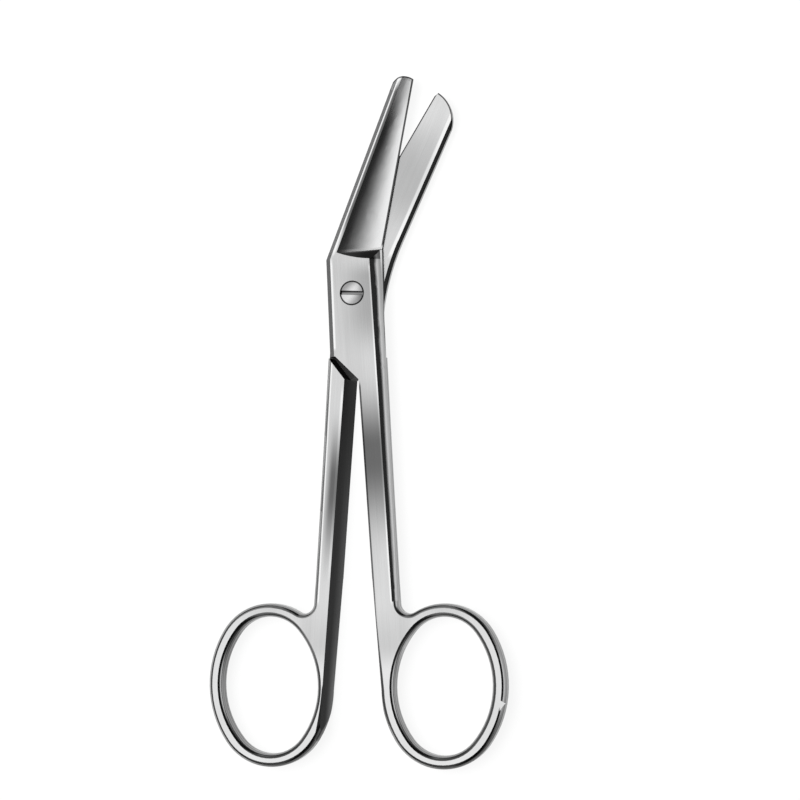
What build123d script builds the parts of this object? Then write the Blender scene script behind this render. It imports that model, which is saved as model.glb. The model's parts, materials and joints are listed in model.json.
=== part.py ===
from build123d import *
import os
from math import atan2, cos, degrees, radians, sin, sqrt, tan

# Angled bandage scissors: two lapped steel halves that turn on one slotted screw.
# Sizes are in millimetres and angles in degrees.
# Each half is drawn looking at its own outer face, closed, with its ring at the right.
# X is measured from the fold axis that both halves share, Y up towards the blades,
# Z from the other half's outer face up to its own outer face.

# Whole tool
thickness = 4.4
running_gap = 0.06
fold_to_pivot = 0.8
half_opening = 4.1

# Slanted parting face between the two shanks, and the diagonal end of each lock
parting_x = -0.65
parting_top_y = -18.2
lock_corner_x = -5.33
lock_bottom_y = -13.0
nest_clearance = 0.45
lock_swing_clearance = 1.0

# Shank
shank_top = (5.3, -6.0)
shank_middle = (4.8, -34.0)
shank_low = (4.45, -62.0)
shank_round_top_y = 11.0
shank_round_top_width = 2.1
shank_round_low_y = -65.0
shank_round_low_width = 1.2
shank_round_start_angle = 18.0
shank_round_end_angle = 55.0

# Finger ring
ring_y = -83.1
ring_hole_half_width = 10.3
ring_hole_half_length = 14.3
ring_side_wall = 3.0
ring_end_wall = 2.75
ring_tilt = 5.7
ring_end_share = 0.881466
hole_end_share = 0.792308
web_fillet = 2.2
run_out_top_y = -60.0
run_out_start_size = 0.08
run_out_overlap = 0.4

# Forged edges, rounded and then ground flat on both faces
edge_round = 1.3
face_grind = 0.05

# Small point on the front ring's outer edge that the grinding left level with the face,
# measured from the outer side of the ring at its middle
ring_point_upper = (-1.65, -3.4)
ring_point_tip = (-0.45, -4.2)
ring_point_lower = (-1.75, -5.7)
ring_point_depth = 0.9

# Front blade, which leans to the right in its own view
front_lock_foot_x = -6.6
front_bend = (-6.0, 7.5)
front_spine_tip = (9.95, 42.1)
front_tip_crown = (12.4, 44.8)
front_edge_tip = (15.2, 44.1)
front_edge_root = (6.0, 9.0)

# Rear blade, which leans to the left in its own view
rear_lock_foot_x = -5.5
rear_bend_y = 3.1
rear_bend_radius = 50.0
rear_spine_tip = (-17.45, 35.5)
rear_tip_crown = (-17.0, 40.3)
rear_tip_end = (-14.3, 43.25)
rear_edge_tip = (-13.5, 42.5)
rear_edge_root = (5.0, 6.3)

# Blade grinding
taper_start_y = 9.0
blade_tip_y = 45.0
blade_tip_thickness = 1.05
cutting_edge_thickness = 0.5
spine_bevel_width = 1.0
spine_bevel_drop = 0.65
inner_bevel_width = 0.8
inner_bevel_drop = 0.45
hollow_margin = 1.85
hollow_foot_y = 8.85
hollow_wall_run = 2.1
hollow_wall_rise = 1.7

# Pivot screw
journal_diameter = 3.2
journal_clearance = 0.05
stem_diameter = 2.6
stem_clearance = 0.02
head_diameter = 4.9
head_depth = 1.1
head_gap = 0.17
head_seat_gap = 0.04
dome_rise = 0.28
slot_width = 0.9
slot_depth = 0.65
slot_turn = -3.0
stem_end_chamfer = 0.2

# Drawing aids: spare metal and reach of cutters, limits of the rounded edges, height match
blank_allowance = 0.2
cutter_lead = 2.0
scoop_lead = 0.05
web_corner_height = 0.75
round_from_x = 2.0
round_below_y = 8.0
same_height = 0.01

# Sizes worked out from the ones above
mid = thickness / 2
lock_face = mid + running_gap / 2
parting_run = nest_clearance - 2 * parting_x
parting_length = sqrt(parting_run**2 + thickness**2)
blank_margin = edge_round + blank_allowance
ring_half_width = ring_hole_half_width + ring_side_wall
ring_x = parting_x + ring_half_width
ring_half_length = ring_hole_half_length + ring_end_wall
hollow_end_y = blade_tip_y + cutter_lead
diagonal_slope = (lock_bottom_y - parting_top_y) / (parting_x - lock_corner_x)
reach = 4 * ring_half_length
front_lock_foot = (front_lock_foot_x, lock_bottom_y - blank_margin)
rear_lock_foot = (rear_lock_foot_x, lock_bottom_y - blank_margin)
rear_bend = (rear_lock_foot_x, rear_bend_y)
rear_bend_turn = atan2(rear_bend[0] - rear_spine_tip[0], rear_spine_tip[1] - rear_bend[1])
rear_bend_centre_x = rear_lock_foot_x - rear_bend_radius
rear_bend_centre_y = rear_bend_y - rear_bend_radius * tan(rear_bend_turn / 2)
rear_bend_end_y = rear_bend_centre_y + rear_bend_radius * sin(rear_bend_turn)


def on_line(start, end, y):
    """The X at height y on the straight line through two points."""
    return start[0] + (end[0] - start[0]) * (y - start[1]) / (end[1] - start[1])


def outer_face_height(y):
    """Height of the outer face, level at the lock and falling along the blade."""
    fall = thickness - mid - blade_tip_thickness
    return thickness - fall * max(0.0, y - taper_start_y) / (blade_tip_y - taper_start_y)


def front_view_at(x, y):
    """The front half's own view with the pivot at x, y, opened to one side."""
    turn = radians(half_opening)
    fold = (x + fold_to_pivot * cos(turn), y + fold_to_pivot * sin(turn), 0)
    return Plane(origin=fold, x_dir=(cos(turn), sin(turn), 0))


def rear_view_at(x, y):
    """The rear half's own view, from behind, opened to the other side."""
    turn = radians(half_opening)
    fold = (x + fold_to_pivot * cos(turn), y - fold_to_pivot * sin(turn), thickness)
    return Plane(origin=fold, x_dir=(-cos(turn), sin(turn), 0), z_dir=(0, 0, -1))


def across(view, y):
    """A plane across the half at height y, with its Y through the thickness."""
    return Plane(origin=view.from_local_coords((0, y, 0)), x_dir=view.x_dir, z_dir=-view.y_dir)


def along(view):
    """A plane along the half, with its X along the length and its Y through the thickness."""
    return Plane(origin=view.origin, x_dir=view.y_dir, z_dir=view.x_dir)


def towards(view, x, z):
    """A direction in the half's own view."""
    return view.x_dir * x + view.z_dir * z


def handle_lines(lock_foot):
    """Outline of the shank's forging, from the lock's ring side round to its other side."""
    blank_x = parting_x - blank_margin
    ThreePointArc(shank_top, shank_middle, shank_low)
    Polyline(
        shank_low,
        (shank_low[0], ring_y + ring_half_length / 2),
        (ring_x - ring_hole_half_width, ring_y),
        (blank_x, ring_y),
        (blank_x, parting_top_y - blank_margin),
        lock_foot,
    )


def oval(half_width, half_length, end_share):
    """A long oval of four tangent arcs, with end arcs that are a little tighter than its half width."""
    end_radius = end_share * half_width
    end_y = half_length - end_radius
    side_radius = (half_width**2 + end_y**2 - end_radius**2) / (2 * (half_width - end_radius))
    side_x = side_radius - half_width
    join = degrees(atan2(end_y, side_x))
    with BuildSketch(Plane.XY, mode=Mode.PRIVATE) as shape:
        with BuildLine():
            CenterArc((-side_x, 0), side_radius, -join, 2 * join)
            CenterArc((0, end_y), end_radius, join, 180 - 2 * join)
            CenterArc((side_x, 0), side_radius, 180 - join, 2 * join)
            CenterArc((0, -end_y), end_radius, 180 + join, 180 - 2 * join)
        make_face()
    return shape.sketch


def finger_ring():
    """The ring's oval joined to the shank, and its hole."""
    place = Location((ring_x, ring_y, 0), (0, 0, -ring_tilt))
    add(place * oval(ring_half_width, ring_half_length, ring_end_share))
    add(place * oval(ring_hole_half_width, ring_hole_half_length, hole_end_share), mode=Mode.SUBTRACT)


def forge(half, view):
    """Thicken the plan, round the inner corner and the handle's edges, and grind both faces flat."""
    extrude(amount=thickness + 2 * face_grind, dir=view.z_dir)
    web_corner = view.from_local_coords((shank_low[0], ring_y + web_corner_height * ring_half_length, mid))
    fillet(half.edges().filter_by(Axis.Z).sort_by_distance(web_corner)[0], web_fillet)
    round_edges = []
    for edge in half.edges():
        place = view.to_local_coords(edge @ 0.5)
        on_a_face = abs(abs(place.Z - mid) - mid - face_grind) < same_height
        if on_a_face and place.X > round_from_x and place.Y < round_below_y:
            round_edges.append(edge)
    fillet(round_edges, edge_round)
    with BuildSketch(view) as slab:
        Rectangle(2 * reach, 4 * reach)
    extrude(slab.sketch, amount=thickness, dir=view.z_dir, mode=Mode.INTERSECT)


def leave_ring_point(view):
    """Leave a small three-sided point on the ring's rounded edge."""
    outer_side = (ring_x + ring_half_width, ring_y)
    with BuildSketch(view.offset(thickness)) as point:
        with Locations(outer_side):
            Polygon(ring_point_upper, ring_point_tip, ring_point_lower, align=None)
    extrude(point.sketch, amount=-ring_point_depth, dir=view.z_dir)


def taper_blade(view):
    """Grind the outer face down along the blade."""
    with BuildSketch(along(view)) as wedge:
        with BuildLine():
            Polyline(
                (taper_start_y, thickness),
                (reach, outer_face_height(reach)),
                (reach, thickness),
                close=True,
            )
        make_face()
    extrude(wedge.sketch, amount=reach, both=True, mode=Mode.SUBTRACT)


def bevel_lock_side(half, view, spine_start):
    """Bevel the outer edge of the lock's free side."""
    outer_face = half.faces().sort_by(Axis(view.origin, view.z_dir))[-1]
    edges = []
    for edge in outer_face.edges():
        place = view.to_local_coords(edge @ 0.5)
        if lock_bottom_y < place.Y < spine_start[1] and place.X < lock_corner_x:
            edges.append(edge)
    chamfer(edges, spine_bevel_width, spine_bevel_drop, reference=outer_face)


def inner_bevel_section(view, spine_x, y):
    """What is cut from the inner edge of a spine, on a plane across the half."""
    full_drop = inner_bevel_drop * (1 + cutter_lead / inner_bevel_width)
    with BuildSketch(across(view, y)) as section:
        with BuildLine():
            Polyline(
                (spine_x + inner_bevel_width, lock_face),
                (spine_x + inner_bevel_width, 0),
                (spine_x - cutter_lead, 0),
                (spine_x - cutter_lead, lock_face + full_drop),
                close=True,
            )
        make_face()
    return section.sketch


def bevel_inner_spine(view, spine_start, spine_end, start_y):
    """Bevel the inner edge of a blade's straight spine."""
    sections = []
    for y in (start_y, blade_tip_y + cutter_lead):
        sections.append(inner_bevel_section(view, on_line(spine_start, spine_end, y), y))
    loft(sections, ruled=True, mode=Mode.SUBTRACT)


def bevel_inner_bend(view):
    """Carry the inner bevel round the rear blade's bend."""
    section = inner_bevel_section(view, rear_lock_foot_x, rear_bend_centre_y)
    centre = view.from_local_coords((rear_bend_centre_x, rear_bend_centre_y, 0))
    turn = degrees(rear_bend_turn)
    revolve(section, axis=Axis(centre, view.z_dir), revolution_arc=turn, mode=Mode.SUBTRACT)


def bevel_outer_spine(view, spine_start, spine_end):
    """Grind a bevel of even width along the spine, down the tapered outer face."""
    sections = []
    for y in (spine_start[1] - cutter_lead, taper_start_y, blade_tip_y + cutter_lead):
        spine_x = on_line(spine_start, spine_end, y)
        height = outer_face_height(y)
        full_drop = spine_bevel_drop * (1 + cutter_lead / spine_bevel_width)
        with BuildSketch(across(view, y)) as section:
            with BuildLine():
                Polyline(
                    (spine_x + spine_bevel_width, height),
                    (spine_x + spine_bevel_width, height + thickness),
                    (spine_x - cutter_lead, height + thickness),
                    (spine_x - cutter_lead, height - full_drop),
                    close=True,
                )
            make_face()
        sections.append(section.sketch)
    loft(sections, ruled=True, mode=Mode.SUBTRACT)


def part_shanks(view):
    """Cut the slanted parting face and the undercut diagonal end of the lock."""
    with BuildSketch(view.offset(thickness)) as other_side:
        with BuildLine():
            Polyline(
                (-reach, lock_bottom_y),
                (lock_corner_x, lock_bottom_y),
                (parting_x, parting_top_y),
                (parting_x, -2 * reach),
                (-reach, -2 * reach),
                close=True,
            )
        make_face()
    slant = towards(view, parting_run, -thickness)
    extrude(other_side.sketch, amount=2 * parting_length, dir=slant, mode=Mode.SUBTRACT)


def lap_lock(view):
    """Halve the lock and the blade, down to the slanted shoulder of the shank."""
    shoulder_x = nest_clearance - parting_x
    relief_y = lock_bottom_y - lock_swing_clearance
    relief_x = shoulder_x + (relief_y - parting_top_y) / diagonal_slope
    with BuildSketch(view) as above_shoulder:
        with BuildLine():
            Polyline(
                (shoulder_x, parting_top_y),
                (relief_x, relief_y),
                (reach, relief_y),
                (reach, reach),
                (-reach, reach),
                (-reach, parting_top_y),
                close=True,
            )
        make_face()
    slant = towards(view, -parting_run, thickness)
    depth = parting_length * lock_face / thickness
    extrude(above_shoulder.sketch, amount=depth, dir=slant, mode=Mode.SUBTRACT)


def round_shank(view):
    """Grind the shank's outer edge round, from a crisp ridge that closes on the edge at the ring."""
    start = radians(shank_round_start_angle)
    end = radians(shank_round_end_angle)
    stations = ((shank_round_top_y, shank_round_top_width), (shank_round_low_y, shank_round_low_width))
    sections = []
    for y, width in stations:
        edge_x = on_line(shank_top, shank_low, y)
        drop = width * (cos(start) - cos(end)) / (sin(end) - sin(start))
        ridge = (edge_x - width, thickness)
        with BuildSketch(across(view, y)) as section:
            with BuildLine():
                TangentArc(ridge, (edge_x, thickness - drop), tangent=(cos(start), -sin(start)))
                Polyline(
                    (edge_x, thickness - drop),
                    (edge_x + thickness, thickness - drop),
                    (edge_x + thickness, 2 * thickness),
                    (edge_x - width, 2 * thickness),
                    ridge,
                )
            make_face()
        sections.append(section.sketch)
    loft(sections, ruled=True, mode=Mode.SUBTRACT)


def run_out_ring_edge(view):
    """Let the ring's rounded edge run out along the parting edge of the shank."""
    round_run = sqrt(edge_round**2 - (edge_round - face_grind) ** 2)
    corner = (parting_x, thickness)
    ridge = (parting_x + edge_round - round_run, thickness)
    foot = (parting_x, thickness + face_grind - edge_round)
    sections = []
    for y, size in ((run_out_top_y, run_out_start_size), (ring_y - run_out_overlap, 1.0)):
        with BuildSketch(across(view, y)) as section:
            with BuildLine():
                ridge_here = (corner[0] + size * (ridge[0] - corner[0]), thickness)
                foot_here = (corner[0], thickness + size * (foot[1] - thickness))
                RadiusArc(ridge_here, foot_here, size * edge_round)
                Polyline(
                    foot_here,
                    (corner[0] - cutter_lead, foot_here[1]),
                    (corner[0] - cutter_lead, thickness + cutter_lead),
                    (ridge_here[0], thickness + cutter_lead),
                    ridge_here,
                )
            make_face()
        sections.append(section.sketch)
    loft(sections, ruled=True, mode=Mode.SUBTRACT)


def hollow_grind(view, spine_start, spine_end, edge_start, edge_end):
    """Scoop the outer face between the spine and the cutting edge."""
    stations = (
        (hollow_foot_y - hollow_wall_run, hollow_foot_y, hollow_wall_rise),
        (hollow_foot_y, hollow_foot_y, 0.0),
        (hollow_end_y, hollow_end_y, 0.0),
    )
    edge_height = lock_face + cutting_edge_thickness
    sections = []
    for y, profile_y, lift in stations:
        left = on_line(spine_start, spine_end, profile_y) + hollow_margin
        right = on_line(edge_start, edge_end, profile_y)
        rise = outer_face_height(profile_y) - edge_height
        radius = ((right - left) ** 2 + rise**2) / (2 * rise)
        bottom = edge_height + lift
        with BuildSketch(across(view, y)) as section:
            with BuildLine():
                scoop = TangentArc((right, bottom), (left, bottom + rise), tangent=(-1, 0))
                Polyline(
                    scoop @ 1,
                    (left - scoop_lead * radius, bottom + rise + scoop_lead * radius),
                    (left, bottom + 2 * thickness),
                    (right + reach, bottom + 2 * thickness),
                    (right + reach, bottom),
                    scoop @ 0,
                )
            make_face()
        sections.append(section.sketch)
    loft(sections, ruled=True, mode=Mode.SUBTRACT)


with BuildSketch() as front_plan:
    with BuildLine():
        Polyline(front_lock_foot, front_bend, front_spine_tip)
        ThreePointArc(front_spine_tip, front_tip_crown, front_edge_tip)
        Polyline(front_edge_tip, front_edge_root, shank_top)
        handle_lines(front_lock_foot)
    make_face()
    finger_ring()

with BuildSketch() as rear_plan:
    with BuildLine():
        FilletPolyline(rear_spine_tip, rear_bend, rear_lock_foot, radius=rear_bend_radius)
        ThreePointArc(rear_spine_tip, rear_tip_crown, rear_tip_end)
        Polyline(rear_tip_end, rear_edge_tip, rear_edge_root, shank_top)
        handle_lines(rear_lock_foot)
    make_face()
    finger_ring()

# The plans, opened about the pivot as shown, give the tool's middle
front_box = (front_view_at(0, 0).location * front_plan.sketch).bounding_box()
rear_box = (rear_view_at(0, 0).location * rear_plan.sketch).bounding_box()
pivot_x = -(min(front_box.min.X, rear_box.min.X) + max(front_box.max.X, rear_box.max.X)) / 2
pivot_y = -(min(front_box.min.Y, rear_box.min.Y) + max(front_box.max.Y, rear_box.max.Y)) / 2
front_view = front_view_at(pivot_x, pivot_y)
rear_view = rear_view_at(pivot_x, pivot_y)
print("pivot at", round(pivot_x, 4), round(pivot_y, 4))

os.makedirs("parts", exist_ok=True)

with BuildPart() as front_half:
    with BuildSketch(front_view.offset(-face_grind)):
        add(front_plan.sketch)
    forge(front_half, front_view)
    leave_ring_point(front_view)
    bevel_lock_side(front_half, front_view, front_bend)
    taper_blade(front_view)
    bevel_outer_spine(front_view, front_bend, front_spine_tip)
    lap_lock(front_view)
    bevel_inner_spine(front_view, front_bend, front_spine_tip, front_bend[1])
    part_shanks(front_view)
    round_shank(front_view)
    run_out_ring_edge(front_view)
    hollow_grind(front_view, front_bend, front_spine_tip, front_edge_root, front_edge_tip)
    with Locations(Plane((pivot_x, pivot_y, thickness))):
        CounterBoreHole(
            radius=journal_diameter / 2 + journal_clearance,
            counter_bore_radius=head_diameter / 2 + head_gap,
            counter_bore_depth=head_depth,
            depth=thickness,
        )

front_half.part.label = "front_half"
export_step(front_half.part, "parts/front_half.step")

with BuildPart() as rear_half:
    with BuildSketch(rear_view.offset(-face_grind)):
        add(rear_plan.sketch)
    forge(rear_half, rear_view)
    bevel_lock_side(rear_half, rear_view, rear_bend)
    taper_blade(rear_view)
    lap_lock(rear_view)
    bevel_inner_spine(rear_view, rear_bend, rear_spine_tip, rear_bend_end_y)
    bevel_inner_bend(rear_view)
    part_shanks(rear_view)
    round_shank(rear_view)
    run_out_ring_edge(rear_view)
    hollow_grind(rear_view, rear_bend, rear_spine_tip, rear_edge_root, rear_edge_tip)
    with Locations(Plane((pivot_x, pivot_y, thickness))):
        Hole(stem_diameter / 2 + stem_clearance, depth=thickness)

rear_half.part.label = "rear_half"
export_step(rear_half.part, "parts/rear_half.step")

# Screw, turned about the pivot, with its shoulder seated on the rear half's inner face
with BuildPart() as pivot_screw:
    with BuildSketch(Plane((pivot_x, pivot_y, 0), x_dir=(1, 0, 0), z_dir=(0, -1, 0))):
        with BuildLine():
            head_rim = (head_diameter / 2, thickness)
            Polyline(
                (0, thickness + dome_rise),
                (0, 0),
                (stem_diameter / 2 - stem_end_chamfer, 0),
                (stem_diameter / 2, stem_end_chamfer),
                (stem_diameter / 2, mid - running_gap / 2),
                (journal_diameter / 2, mid - running_gap / 2),
                (journal_diameter / 2, thickness - head_depth + head_seat_gap),
                (head_diameter / 2, thickness - head_depth + head_seat_gap),
                head_rim,
            )
            TangentArc((0, thickness + dome_rise), head_rim, tangent=(1, 0))
        make_face()
    revolve(axis=Axis((pivot_x, pivot_y, 0), (0, 0, 1)))
    with BuildSketch(Plane((pivot_x, pivot_y, thickness - slot_depth))):
        Rectangle(2 * head_diameter, slot_width, rotation=slot_turn)
    extrude(amount=thickness, mode=Mode.SUBTRACT)

pivot_screw.part.label = "pivot_screw"
export_step(pivot_screw.part, "parts/pivot_screw.step")
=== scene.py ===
"""Angled bandage scissors in brushed and polished stainless steel."""
import json
from dataclasses import dataclass
from math import atan2, cos, degrees, hypot, radians, sin, sqrt, tan

import bpy
from mathutils import Matrix, Vector


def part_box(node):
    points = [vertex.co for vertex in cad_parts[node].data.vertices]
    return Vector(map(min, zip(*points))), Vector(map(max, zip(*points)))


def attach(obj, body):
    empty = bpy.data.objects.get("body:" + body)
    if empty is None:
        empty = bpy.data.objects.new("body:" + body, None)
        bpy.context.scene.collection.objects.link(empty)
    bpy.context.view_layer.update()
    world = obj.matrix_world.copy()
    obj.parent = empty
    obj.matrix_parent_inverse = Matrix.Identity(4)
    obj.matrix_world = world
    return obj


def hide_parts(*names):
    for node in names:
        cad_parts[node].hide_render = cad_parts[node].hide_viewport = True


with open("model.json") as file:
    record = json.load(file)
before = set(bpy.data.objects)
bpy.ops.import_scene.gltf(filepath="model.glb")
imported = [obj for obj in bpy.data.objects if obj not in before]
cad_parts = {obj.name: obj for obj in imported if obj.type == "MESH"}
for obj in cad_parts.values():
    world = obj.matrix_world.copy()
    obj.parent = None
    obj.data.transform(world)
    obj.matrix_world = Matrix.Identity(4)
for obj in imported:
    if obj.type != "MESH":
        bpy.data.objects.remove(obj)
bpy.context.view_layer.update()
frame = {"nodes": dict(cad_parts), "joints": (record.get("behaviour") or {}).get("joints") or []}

MM = 0.001

# Camera, placed by the screw head's place in the 800 x 800 picture
PICTURE_PIXELS = 800
SCREW_PIXEL = (351.5, 292.8)
MM_PER_PIXEL = 0.2097
CAMERA_TO_THE_RIGHT = 13.0
CAMERA_TO_THE_FRONT = 4.0
CAMERA_DISTANCE = 520 * MM
SENSOR_WIDTH = 36.0

# Floor and lamp
FLOOR_SIZE = 8.0
FLOOR_DROP = 0.02 * MM
FLOOR_GLOW = 0.9
FLOOR_TONE = 0.9
LAMP_PLACE = (-0.45, 0.15, 0.8)
LAMP_SIZE = 0.9
LAMP_POWER = 14.0

# Light from the studio by the lean of its direction: degrees from straight up towards the right
SKY_BY_LEAN = (
    (-100, 0.20),
    (-62, 0.28),
    (-45, 0.75),
    (-28, 0.95),
    (-14, 1.0),
    (-4, 0.95),
    (6, 0.58),
    (14, 0.2),
    (22, 0.03),
    (52, 0.03),
    (61, 0.5),
    (70, 1.4),
    (88, 1.1),
    (100, 0.6),
)

# The pivot, and sizes that both halves share, in millimetres
PIVOT = Vector(frame["joints"][0]["pos_m"])
SCREW_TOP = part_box("pivot_screw")[1].z
FOLD_TO_PIVOT = 0.8
HALF_OPENING = 4.1
THICKNESS = 4.4
LOCK_FACE = 2.23
HOLLOW_MARGIN = 1.85
HOLLOW_FOOT = 8.85
SCREW_CLEARANCE = 2.75
SCREW_RIM = 2.24
SLOT_TURN = -3.0

# Rounded edges: radius, and depth once the faces were ground flat
EDGE_ROUND = 1.3
ROUND_DEPTH = 1.25
SHANK_ROUND_TOP = -12.0
SHANK_ROUND_END = -62.1
SHANK_ROUND_X = 3.3

# Run-out of the ring's rounding along the parting edge
RUN_OUT_X = -0.65
RUN_OUT_TOP = -60.0
RUN_OUT_END = -83.5
RUN_OUT_START_SIZE = 0.08
RUN_OUT_WIDTH = 0.943
RUN_OUT_REACH = 0.03
SCOOP_END_ANGLE = 53.5
ROUND_START_ANGLE = 15.9
ROUND_END_ANGLE = 56.7

# Lower end of the painted dark shade on the slanted parting face, where it turns in with the ring
TURN_IN_CENTRE = (71.25, -82.0)
TURN_IN_RADIUS = 70.0

# Stretches of the painted shade and painted highlights along V, in millimetres: start, full, end and gone
PARTING_STRETCH = (-98.0, -92.0, -19.2, -18.8)
SHOULDER_STRETCH = (-19.2, -18.8, -12.2, -11.8)
RIDGE_STRETCH = (-66.0, -64.0, 5.0, 6.0)
SIDE_STRETCH = (-66.0, -63.0, -16.0, -14.0)
LOCK_SIDE_STRETCH = (-12.0, -11.0, 6.0, 8.5)
PARTING_LINE_STRETCH = (-80.0, -76.0, -20.0, -18.5)
NEST_LINE_STRETCH = (-62.0, -55.0, -22.0, -19.0)
DARK_BAND_STRETCH = (-58.0, -37.0, -34.0, -18.0)
LOCK_SHADE_STRETCH = (-15.0, -4.0, 3.0, 7.5)
BLADE_SHADE_STRETCH = (12.0, 22.0, 26.0, 38.0)
LAND_STRETCH = (9.5, 17.0, 41.5, 44.5)
END_WALL_STRETCH = (6.6, 6.9, HOLLOW_FOOT - 0.35, HOLLOW_FOOT - 0.15)

# Thin strips of the painted shade and painted highlights across the steel, in millimetres: start, full, end and
# gone
RIDGE_STRIP = (-0.1, 0.0, 0.18, 0.4)
LOCK_SIDE_STRIP = (0.85, 1.0, 1.25, 1.6)
SPINE_STRIP = (0.7, 0.8, 1.3, 1.75)
LAND_STRIP = (1.15, 1.4, HOLLOW_MARGIN, HOLLOW_MARGIN + 0.1)
PARTING_STRIP = (-0.8, -0.7, -0.35, -0.2)
NEST_STRIP = (1.0, 1.2, 1.5, 1.7)

# What each painted shade or painted highlight makes of the steel's own tone: below 1 darker, above 1 brighter
DARK_BAND_TINT = 0.22
LOCK_TINT = 0.64
INNER_BLADE_TINT = 0.8
INNER_TIP_TINT = 1.15
END_WALL_TINT = 0.3
HOLLOW_FOOT_TINT = 1.3
LAND_TINT = 0.2
SIDE_TINT = 0.8
RING_ROUND_TINT = 0.3
RING_WALL_TINT = 0.5
RING_SHADE_TINT = 0.35
RING_FLAT_TINT = 1.2
WEB_TINT = 0.9
BRIGHT_LINE_TINT = 1.55
PARTING_LINE_TINT = 0.2
NEST_LINE_TINT = 1.35
SCREW_RIM_TINT = 0.15

# Tones that take the place of the steel's own: painted shade on steep faces, painted reflection in the hollow
# and at the tip, a painted highlight on the tip's rim, a painted shadow line at the edge and the painted dark
# shade; and the screw's own tone
STEEP_TONE, LEVEL_TONE = 0.30, 0.68
HOLLOW_SPINE_TONE, HOLLOW_EDGE_TONE = 0.55, 0.95
TIP_SPINE_TONE, TIP_EDGE_TONE = 0.85, 1.0
TIP_RIM_TONE = 0.8
OUTLINE_TONE = 0.1
# Tone of the painted dark shade on slanted faces and in gaps
PAINTED_DARK_TONE = 0.028
SCREW_TONE = 0.78


@dataclass(frozen=True)
class Half:
    """One half's lines in its own closed view, in millimetres.

    U runs from the fold axis to the half's ring, and V to its blade.
    """

    side: int  # 1 for the half whose ring lies to the right, -1 for the other
    spine: tuple  # from the bend to the tip
    edge: tuple  # cutting edge, from the heel to the tip
    tip_centre: tuple
    tip_radius: float
    tip_start: float
    ridge: tuple
    lock_side: tuple
    # Where the painted dark band on the shank lies for this half
    dark_band_shift: float
    dark_band_rise: tuple  # U where the painted dark band begins and where it is full

    def axes(self):
        """The fold axis's place and the directions of U, V and the outer face."""
        turn = radians(HALF_OPENING)
        fold = PIVOT + Vector((cos(turn), self.side * sin(turn), 0)) * FOLD_TO_PIVOT * MM
        across = Vector((self.side * cos(turn), sin(turn), 0))
        along = Vector((-self.side * sin(turn), cos(turn), 0))
        return fold, across, along, Vector((0, 0, self.side))

    def height(self, z):
        """Height above the half's inner face, from a height above the floor."""
        return z if self.side > 0 else THICKNESS - z


FRONT = Half(
    side=1,
    spine=((-6.0, 7.5), (9.95, 42.1)),
    edge=((6.0, 9.0), (15.2, 44.1)),
    tip_centre=(13.11, 41.69),
    tip_radius=3.19,
    tip_start=42.0,
    ridge=((3.458, 11.0), (3.204, -65.0)),
    lock_side=((-6.0, 7.5), (-6.6, -14.5)),
    dark_band_shift=-1.5,
    dark_band_rise=(-3.6, 0.0),
)
REAR = Half(
    side=-1,
    spine=((-5.5, 3.1), (-17.45, 35.5)),
    edge=((5.0, 6.3), (-13.5, 42.5)),
    tip_centre=(-10.75, 37.29),
    tip_radius=6.93,
    tip_start=35.3,
    ridge=((4.36, -6.0), (3.51, -62.0)),
    lock_side=((-5.5, 3.1), (-5.501, -14.5)),
    dark_band_shift=5.0,
    dark_band_rise=(4.0, 2.2),
)


class Wire:
    """A shader socket with operators, so that shading maths reads as plain sums."""

    def __init__(self, tree, socket=None):
        self.tree = tree
        self.socket = socket

    def plug(self, socket, value):
        if isinstance(value, Wire):
            self.tree.links.new(value.socket, socket)
        else:
            socket.default_value = value

    def node(self, kind, settings=None, inputs=None, output=0):
        """Add any node: settings by name, inputs by name or number, and the output to go on with."""
        made = self.tree.nodes.new(kind)
        for name, value in (settings or {}).items():
            setattr(made, name, value)
        for name, value in (inputs or {}).items():
            self.plug(made.inputs[name], value)
        return Wire(self.tree, made.outputs[output])

    def math(self, operation, *values):
        return self.node("ShaderNodeMath", {"operation": operation}, dict(enumerate(values)))

    def __add__(self, other):
        return self.math("ADD", self, other)

    def __radd__(self, other):
        return self.math("ADD", other, self)

    def __sub__(self, other):
        return self.math("SUBTRACT", self, other)

    def __rsub__(self, other):
        return self.math("SUBTRACT", other, self)

    def __mul__(self, other):
        return self.math("MULTIPLY", self, other)

    def __rmul__(self, other):
        return self.math("MULTIPLY", other, self)

    def __truediv__(self, other):
        return self.math("DIVIDE", self, other)

    def __rtruediv__(self, other):
        return self.math("DIVIDE", other, self)

    def __abs__(self):
        return self.math("ABSOLUTE", self)

    def __or__(self, other):
        """The greater of two masks."""
        return self.math("MAXIMUM", self, other)

    def length(self, other):
        return self.math("SQRT", self * self + other * other)

    def rise(self, low, high):
        """0 below low, 1 above high and smooth between; with low above high it falls."""
        settings = {"interpolation_type": "SMOOTHSTEP"}
        if low <= high:
            return self.node("ShaderNodeMapRange", settings, {"Value": self, "From Min": low, "From Max": high})
        return 1.0 - self.rise(high, low)

    def band(self, start, full, end, gone):
        """Rises from start to full and falls from end to gone."""
        return self.rise(start, full) * self.rise(gone, end)

    def blend(self, low, high):
        """Low where this is 0, high where it is 1."""
        return low + self * (high - low)

    def tint(self, factor):
        """A factor for a tone: 1 where this is 0."""
        return self.blend(1.0, factor)

    def parts(self):
        return [self.node("ShaderNodeSeparateXYZ", None, {0: self}, axis) for axis in "XYZ"]

    def vector(self, x, y, z):
        return self.node("ShaderNodeCombineXYZ", None, {0: x, 1: y, 2: z})

    def noise(self, scale, detail=2.0, roughness=0.5):
        """Noise of this place, about 0 in the middle."""
        inputs = {"Vector": self, "Scale": scale, "Detail": detail, "Roughness": roughness}
        return self.node("ShaderNodeTexNoise", None, inputs) - 0.5


def grey(value):
    return (value, value, value, 1.0)


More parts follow.
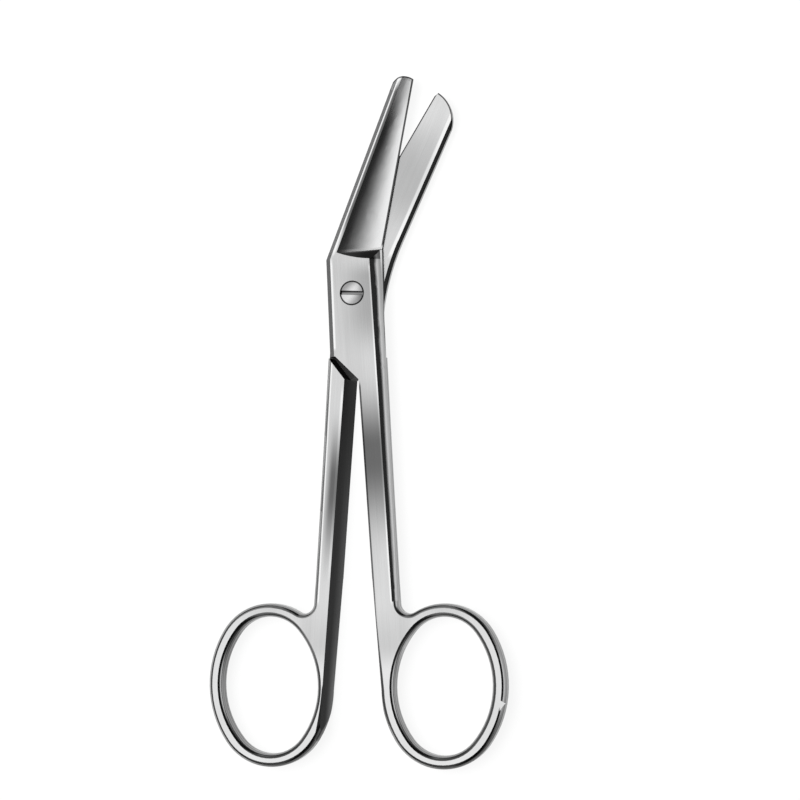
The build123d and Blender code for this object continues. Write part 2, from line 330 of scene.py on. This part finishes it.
def deselect_all():
    if bpy.context.mode != "OBJECT":
        bpy.ops.object.mode_set(mode="OBJECT")
    bpy.ops.object.select_all(action="DESELECT")


def new_material(name):
    material = bpy.data.materials.new(name)
    material.use_nodes = True
    tree = material.node_tree
    return material, tree.nodes["Principled BSDF"], Wire(tree)


def line_u(v, line):
    """U on a straight line through two points, at V."""
    (start_u, start_v), (end_u, end_v) = line
    slope = (end_u - start_u) / (end_v - start_v)
    return (v - start_v) * slope + start_u


class HalfSurface:
    """Where a point lies on one half and how its surface faces, as wires for the brushing and for the painted
    shade, reflection and highlights.
    """

    def __init__(self, start, half):
        x, y, z = start.node("ShaderNodeTexCoord", output="Object").parts()
        fold, across, along, _ = half.axes()
        fold_x = (x - fold.x) / MM
        fold_y = (y - fold.y) / MM
        self.u = fold_x * across.x + fold_y * across.y
        self.v = fold_x * along.x + fold_y * along.y
        self.z = z / MM
        self.height = half.height(self.z)
        self.from_screw = ((x - PIVOT.x) / MM).length((y - PIVOT.y) / MM)

        self.to_right, self.to_back, facing = start.node("ShaderNodeTexCoord", output="Normal").parts()
        self.level = abs(facing)
        self.flat = self.level.rise(0.955, 0.992)
        self.outward = (facing * half.side).rise(0.1, 0.3)
        self.inward = 1.0 - self.outward

        self.mark_lines(half)
        self.mark_ring()
        self.mark_hollow()
        self.brush(start, half)

    def mark_lines(self, half):
        """Distances from the half's lines, positive on the inside of the shape."""
        self.from_ridge = line_u(self.v, half.ridge) - self.u
        self.from_lock_side = self.u - line_u(self.v, half.lock_side)
        self.from_spine = self.u - line_u(self.v, half.spine)
        self.from_edge = line_u(self.v, half.edge) - self.u
        tip_u, tip_v = half.tip_centre
        self.from_tip = half.tip_radius - (self.u - tip_u).length(self.v - tip_v)
        self.at_tip = self.v.rise(half.tip_start, half.tip_start + 0.3)

    def mark_ring(self):
        """The ring, and the web between it and the shank."""
        low = self.v.rise(-64.0, -74.0)
        web = self.u.rise(8.0, 5.0) * self.v.rise(-80.0, -74.0)
        self.on_ring = low * (1.0 - web)
        self.on_web = low * web

    def mark_hollow(self):
        """The hollow in the outer face of the blade, its foot and its end near the tip."""
        self.share = self.from_spine / (self.from_spine + self.from_edge)
        self.scooped = self.from_spine.rise(HOLLOW_MARGIN, HOLLOW_MARGIN + 0.1) * self.outward
        self.hollow = self.scooped * self.v.rise(HOLLOW_FOOT - 0.15, HOLLOW_FOOT + 0.05)
        at_foot = self.v.rise(HOLLOW_FOOT + 0.7, HOLLOW_FOOT + 0.3)
        self.foot_line = self.hollow * at_foot * self.share.rise(0.15, 0.5)
        self.near_tip = self.v.rise(33.0, 43.0)

    def brush(self, start, half):
        """Brushing along the shank and lock, and along the leaning blade above them."""
        (bend_u, bend_v), (tip_u, tip_v) = half.spine
        lean = atan2(tip_u - bend_u, tip_v - bend_v)
        u, v, z = self.u, self.v, self.z
        on_blade = v.rise(8.0, 9.5)
        grain_u = on_blade.blend(u, u * cos(lean) - v * sin(lean))
        grain_v = on_blade.blend(v, u * sin(lean) + v * cos(lean))
        self.fine = start.vector(grain_u * 9.0, grain_v * 0.08, z * 0.4).noise(1.0, 3.0, 0.6)
        self.broad = start.vector(grain_u * 1.6, grain_v * 0.03, z * 0.2).noise(1.0, 2.0)
        self.cloud = start.vector(u * 0.12, v * 0.05, z * 0.1).noise(1.0, 1.0)
        self.brushed = self.flat * self.on_ring.blend(1.0, 0.2)


def painted_dark_shade(on):
    """Where painted dark shade and painted reflection go: slanted faces, shoulders, the lap and the screw's
    clearance.
    """
    u, v = on.u, on.v
    between = v.band(*PARTING_STRETCH) * u.rise(1.85, 1.75)
    shoulder = v.band(*SHOULDER_STRETCH) * u.rise(4.1, 3.9)
    slanted = (between + shoulder) * on.level.rise(0.62, 0.55)
    lap = v.rise(-8.0, -12.0) * abs(on.height - LOCK_FACE).rise(0.2, 0.1)
    lock_wall = v.rise(-14.0, -9.0) * u.rise(3.0, 3.4) * on.level.rise(0.62, 0.45)
    turn_u, turn_v = TURN_IN_CENTRE
    past_turn = (u - turn_u).length(v - turn_v) - TURN_IN_RADIUS
    turned_in = past_turn.rise(0.0, 0.1) * v.rise(turn_v, turn_v - 1.0) * u.rise(6.0, 4.0)
    clearance = on.from_screw.rise(SCREW_CLEARANCE, SCREW_CLEARANCE - 0.07)
    clearance = clearance * on.height.rise(THICKNESS - 0.02, THICKNESS - 0.06)
    return slanted | lap | lock_wall | turned_in * on.inward * on.flat | clearance


def painted_dark_tone(on):
    """Tone of the painted dark shade: darkest at the upper edge of a slanted face, lighter at its lower edge
    and towards the ring.
    """
    low_edge = on.v.rise(-25.0, -60.0).blend(0.025, 0.085) + on.v.rise(-66.0, -90.0) * 0.11
    return (on.height / THICKNESS).rise(0.3, 1.0).blend(PAINTED_DARK_TONE, low_edge) + on.fine * 0.02


def painted_flat_shade(on, half):
    """Painted shade: a dark band half way down the shank that stands in for a reflection, softer painted shade
    on the lock and the inner blade, and a painted highlight towards the inner tip.
    """
    # Painted dark band standing in for a reflection on the shank
    painted_dark_band = (on.v + half.dark_band_shift).band(*DARK_BAND_STRETCH) * on.u.rise(*half.dark_band_rise)
    lock = on.v.band(*LOCK_SHADE_STRETCH) * on.u.rise(-5.0, 3.0)
    inner_blade = on.v.band(*BLADE_SHADE_STRETCH) * on.inward
    inner_tip = on.v.rise(32.0, 41.0) * on.inward
    shade = (painted_dark_band * on.flat).tint(DARK_BAND_TINT) * (lock * on.flat).tint(LOCK_TINT)
    return shade * (inner_blade * on.flat).tint(INNER_BLADE_TINT) * inner_tip.tint(INNER_TIP_TINT)


def painted_hollow_tone(on, tone):
    """Painted reflection in the hollow: darker at the spine, brightest at the cutting edge; painted shade on
    its end wall and the land beside it, and a painted highlight along its foot.
    """
    at_spine = on.near_tip.blend(HOLLOW_SPINE_TONE, TIP_SPINE_TONE)
    at_edge = on.near_tip.blend(HOLLOW_EDGE_TONE, TIP_EDGE_TONE)
    tone = on.hollow.blend(tone, on.share.rise(0.4, 1.0).blend(at_spine, at_edge))
    # Painted shade on the hollow's end wall and on the land, painted highlight along the foot
    end_wall = on.scooped * on.v.band(*END_WALL_STRETCH) * on.level.rise(0.975, 0.95)
    land = on.from_spine.band(*LAND_STRIP) * on.v.band(*LAND_STRETCH) * on.outward
    return tone * end_wall.tint(END_WALL_TINT) * on.foot_line.tint(HOLLOW_FOOT_TINT) * land.tint(LAND_TINT)


def painted_round_shade(on):
    """Painted shade and painted reflection: a greyer side along the shank, dark rounds and walls on the ring, a
    painted highlight on its flat, and the web a little darker.
    """
    side = on.from_ridge.rise(0.0, -0.1) * on.v.band(*SIDE_STRETCH) * on.inward
    ring_round = on.on_ring * on.level.band(0.80, 0.86, 0.945, 0.965)
    ring_wall = on.on_ring * on.level.rise(0.5, 0.15)
    # Painted shade on ring faces turned to the lower right
    to_low_right = (on.to_right * 0.5 - on.to_back).rise(0.4, 0.85)
    ring_shade = on.on_ring * to_low_right * on.level.rise(0.95, 0.88)
    shade = side.tint(SIDE_TINT) * ring_round.tint(RING_ROUND_TINT) * ring_wall.tint(RING_WALL_TINT)
    shade = shade * ring_shade.tint(RING_SHADE_TINT)
    return shade * (on.on_ring * on.flat).tint(RING_FLAT_TINT) * (on.on_web * on.flat).tint(WEB_TINT)


def painted_blade_outline(on, tone):
    """A painted highlight as a pale rim round the tip, and a thin painted shadow line along the cutting edge
    and the tip.
    """
    tip_rim = on.from_tip.rise(0.9, 0.6) * on.at_tip * on.outward
    outline = on.from_edge.rise(0.34, 0.24) * on.v.rise(9.0, 10.0) | on.from_tip.rise(0.34, 0.24) * on.at_tip
    return outline.blend(tip_rim.blend(tone, TIP_RIM_TONE), OUTLINE_TONE)


def painted_edge_lines(on):
    """Painted highlight lines where a flat meets a bevel, a painted shade line at the parting edge, and a
    painted highlight line along the nest.
    """
    bright = on.from_ridge.band(*RIDGE_STRIP) * on.v.band(*RIDGE_STRETCH)
    bright = bright + on.from_lock_side.band(*LOCK_SIDE_STRIP) * on.v.band(*LOCK_SIDE_STRETCH)
    bright = bright + on.from_spine.band(*SPINE_STRIP) * on.v.rise(7.5, 9.5)
    parting = on.u.band(*PARTING_STRIP) * on.v.band(*PARTING_LINE_STRETCH) * on.outward
    nest = on.u.band(*NEST_STRIP) * on.v.band(*NEST_LINE_STRETCH) * on.inward
    shade = (bright * on.flat).tint(BRIGHT_LINE_TINT) * (parting * on.flat).tint(PARTING_LINE_TINT)
    return shade * (nest * on.flat).tint(NEST_LINE_TINT)


def half_steel(name, half):
    """One half: brushed flats, polished rounds, painted shade, reflection and highlights, and painted dark
    shade on the slanted faces between the shanks.
    """
    material, shader, start = new_material(name)
    on = HalfSurface(start, half)
    dark = painted_dark_shade(on)
    # Painted shade: steep faces darker than level ones
    tone = on.level.rise(0.62, 0.97).blend(STEEP_TONE, LEVEL_TONE)
    tone = tone * (1.0 + on.brushed * (on.fine * 0.28 + on.broad * 0.12) + on.flat * on.cloud * 0.35)
    tone = painted_hollow_tone(on, tone * painted_flat_shade(on, half))
    tone = painted_blade_outline(on, tone * painted_round_shade(on)) * painted_edge_lines(on)
    # Painted dark shade and painted reflection take the place of the steel's tone on slanted faces and in gaps
    tone = dark.blend(tone, painted_dark_tone(on))
    start.plug(shader.inputs["Base Color"], start.vector(tone * 0.995, tone * 0.998, tone))
    start.plug(shader.inputs["Metallic"], (dark * on.v.rise(-18.8, -18.2)).blend(1.0, 0.65))

    rough = on.flat.blend(0.13, 0.25) + on.brushed * on.fine * 0.12
    rough = (on.hollow * (on.near_tip | on.foot_line)).blend(rough, 0.45)
    start.plug(shader.inputs["Roughness"], dark.blend(rough, 0.45))
    brushing = {"Height": on.brushed * on.fine, "Strength": 0.1, "Distance": 0.02 * MM}
    start.plug(shader.inputs["Normal"], start.node("ShaderNodeBump", None, brushing))
    return material


def screw_steel():
    """The polished screw: fine turned rings on its head, painted shade on its rim and in its slot, and painted
    shade on the head towards opposite corners on either side of the slot.
    """
    material, shader, start = new_material("screw_polished_steel")
    x, y, z = start.node("ShaderNodeTexCoord", output="Object").parts()
    x = (x - PIVOT.x) / MM
    y = (y - PIVOT.y) / MM
    radius = x.length(y)
    rings = start.vector(radius * 6.0, 0.0, 0.0).noise(1.0, 2.0)
    sunk = (z / MM).rise(THICKNESS - 0.02, THICKNESS - 0.1)
    across_slot = y * cos(radians(SLOT_TURN)) - x * sin(radians(SLOT_TURN))
    # Painted shade in the slot
    slot = across_slot.rise(0.05, 0.3).blend(0.4, 0.06)
    rim = radius.rise(SCREW_RIM, SCREW_RIM + 0.08)
    # Painted shade on the head, darker towards opposite corners on either side of the slot
    painted_head_shade = ((y - x) * start.math("SIGN", across_slot)).rise(0.2, 2.8)
    tone = (SCREW_TONE + rings * 0.12) * painted_head_shade.tint(0.5) * sunk.tint(slot) * rim.tint(SCREW_RIM_TINT)
    start.plug(shader.inputs["Base Color"], start.vector(tone, tone, tone * 1.005))
    start.plug(shader.inputs["Metallic"], 1.0)
    start.plug(shader.inputs["Roughness"], sunk.blend(0.18, 0.3) + rings * 0.05)
    return material


def round_run_out(mesh, normals, half):
    """Swell the scooped run-out of the ring's edge into a round, flush with the ring's own rounding."""
    fold, across_way, along_way, out = half.axes()
    scoop_x = RUN_OUT_WIDTH - EDGE_ROUND
    turned = {}
    for vertex in mesh.vertices:
        place = (vertex.co - fold) / MM
        along = place.dot(along_way)
        if not RUN_OUT_END - 0.02 < along < RUN_OUT_TOP + 0.02:
            continue
        grown = (RUN_OUT_TOP - along) / (RUN_OUT_TOP - RUN_OUT_END)
        size = RUN_OUT_START_SIZE + (1 - RUN_OUT_START_SIZE) * grown
        across = (place.dot(across_way) - RUN_OUT_X) / size
        deep = (THICKNESS - half.height(vertex.co.z / MM)) / size
        angle = atan2(deep, across - scoop_x)
        off_scoop = abs(hypot(across - scoop_x, deep) - EDGE_ROUND) * size
        if off_scoop > RUN_OUT_REACH or not -0.5 < degrees(angle) < SCOOP_END_ANGLE + 2:
            continue
        share = degrees(angle) / SCOOP_END_ANGLE
        lean = radians(ROUND_START_ANGLE + share * (ROUND_END_ANGLE - ROUND_START_ANGLE))
        swell = EDGE_ROUND * (1 - sin(lean)) - across
        lift = deep - (ROUND_DEPTH - EDGE_ROUND * cos(lean))
        vertex.co += (across_way * swell + out * lift) * size * MM
        scooped = out * sin(angle) - across_way * cos(angle)
        rounded = out * cos(lean) - across_way * sin(lean)
        turned[vertex.index] = (scooped, rounded)
    for loop in mesh.loops:
        if loop.vertex_index in turned:
            scooped, rounded = turned[loop.vertex_index]
            if normals[loop.index].dot(scooped) > 0.95:
                normals[loop.index] = rounded


def even_shank_round(mesh, normals, half):
    """Give the round along the shank's outer side the normals of its true section, all the way down."""
    fold, across_way, along_way, out = half.axes()
    for loop in mesh.loops:
        point = mesh.vertices[loop.vertex_index].co
        place = (point - fold) / MM
        on_shank = SHANK_ROUND_END < place.dot(along_way) < SHANK_ROUND_TOP
        on_side = place.dot(across_way) > SHANK_ROUND_X
        depth = half.height(point.z / MM)
        normal = normals[loop.index]
        leaning = normal.dot(across_way) > 0.2 and normal.dot(-out) < 0.985
        if on_shank and on_side and leaning and depth < ROUND_DEPTH + 0.01:
            rise = min(max((ROUND_DEPTH - depth) / EDGE_ROUND, 0.0), 1.0)
            normals[loop.index] = across_way * sqrt(1 - rise**2) - out * rise


def dress(name, body, material, half=None):
    """A copy of a CAD node that keeps its smooth normals and takes its place in steel."""
    deselect_all()
    piece = bpy.data.objects.new(name + "_steel", frame["nodes"][name].data.copy())
    bpy.context.scene.collection.objects.link(piece)
    if half:
        normals = [corner.vector.copy() for corner in piece.data.corner_normals]
        round_run_out(piece.data, normals, half)
        even_shank_round(piece.data, normals, half)
        piece.data.normals_split_custom_set(normals)
    piece.data.materials.clear()
    piece.data.materials.append(material)
    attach(piece, body)
    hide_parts(name)


def make_floor():
    """A wide pale floor that shows the same white to the camera and to the steel."""
    deselect_all()
    bpy.ops.mesh.primitive_plane_add(size=FLOOR_SIZE, location=(0, 0, -FLOOR_DROP))
    floor = bpy.context.object
    floor.name = "floor"
    material, shader, start = new_material("white_floor")
    start.plug(shader.inputs["Base Color"], grey(FLOOR_TONE))
    start.plug(shader.inputs["Roughness"], 0.9)
    start.plug(shader.inputs["Specular IOR Level"], 0.0)
    seen = start.node("ShaderNodeLightPath", output="Is Camera Ray")
    for kind in ("Is Glossy Ray", "Is Transmission Ray"):
        seen = seen | start.node("ShaderNodeLightPath", output=kind)
    white = start.node("ShaderNodeEmission", None, {"Color": grey(1.0), "Strength": 1.0})
    lit = Wire(start.tree, shader.outputs[0])
    mixed = start.node("ShaderNodeMixShader", None, {0: seen * FLOOR_GLOW, 1: lit, 2: white})
    start.plug(start.tree.nodes["Material Output"].inputs["Surface"], mixed)
    floor.data.materials.append(material)


def make_sky():
    """Soft studio light by direction: bright above and to the left, dark to the right."""
    world = bpy.data.worlds.new("studio")
    bpy.context.scene.world = world
    world.use_nodes = True
    start = Wire(world.node_tree)
    x, y, z = start.node("ShaderNodeTexCoord", output="Generated").parts()
    lean = start.math("ARCTAN2", x, z) / radians(1.0)
    light = SKY_BY_LEAN[0][1]
    for (low, before), (high, after) in zip(SKY_BY_LEAN, SKY_BY_LEAN[1:]):
        light = light + lean.rise(low, high) * (after - before)
    far = abs(y).rise(0.35, 0.8)
    low_right = lean.rise(40.0, 60.0) * abs(y).rise(0.2, 0.5)
    light = light * far.tint(0.25) * low_right.tint(0.35)
    background = world.node_tree.nodes["Background"]
    start.plug(background.inputs["Color"], start.vector(light, light, light))
    start.plug(background.inputs["Strength"], 1.0)


def make_lamp():
    """One large soft lamp over the left shoulder lights the floor and gives the soft shadow."""
    deselect_all()
    bpy.ops.object.light_add(type="AREA", location=LAMP_PLACE)
    lamp = bpy.context.object
    lamp.name = "soft_lamp"
    lamp.data.shape = "DISK"
    lamp.data.size = LAMP_SIZE
    lamp.data.energy = LAMP_POWER
    lamp.visible_glossy = False
    lamp.rotation_euler = (-lamp.location).to_track_quat("-Z", "Y").to_euler()


def make_camera():
    """A long lens a little to the right of and below the scissors, with their length upright."""
    deselect_all()
    bpy.ops.object.camera_add()
    camera = bpy.context.object
    back = Vector((tan(radians(CAMERA_TO_THE_RIGHT)), -tan(radians(CAMERA_TO_THE_FRONT)), 1)).normalized()
    right = Vector((0, 1, 0)).cross(back).normalized()
    up = back.cross(right)
    middle = PICTURE_PIXELS / 2
    screw = Vector((PIVOT.x, PIVOT.y, SCREW_TOP))
    across = (middle - SCREW_PIXEL[0]) * MM_PER_PIXEL * MM
    along = (SCREW_PIXEL[1] - middle) * MM_PER_PIXEL * MM
    place = screw + right * across + up * along + back * CAMERA_DISTANCE
    turn = Matrix((right, up, back)).transposed().to_4x4()
    camera.matrix_world = Matrix.Translation(place) @ turn
    camera.data.sensor_width = SENSOR_WIDTH
    camera.data.lens = SENSOR_WIDTH * CAMERA_DISTANCE / (PICTURE_PIXELS * MM_PER_PIXEL * MM)
    bpy.context.scene.camera = camera


bpy.context.scene.view_settings.view_transform = "Standard"
dress("front_half", "front", half_steel("front_brushed_steel", FRONT), FRONT)
dress("rear_half", "rear", half_steel("rear_brushed_steel", REAR), REAR)
dress("pivot_screw", "rear", screw_steel())
make_floor()
make_sky()
make_lamp()
make_camera()
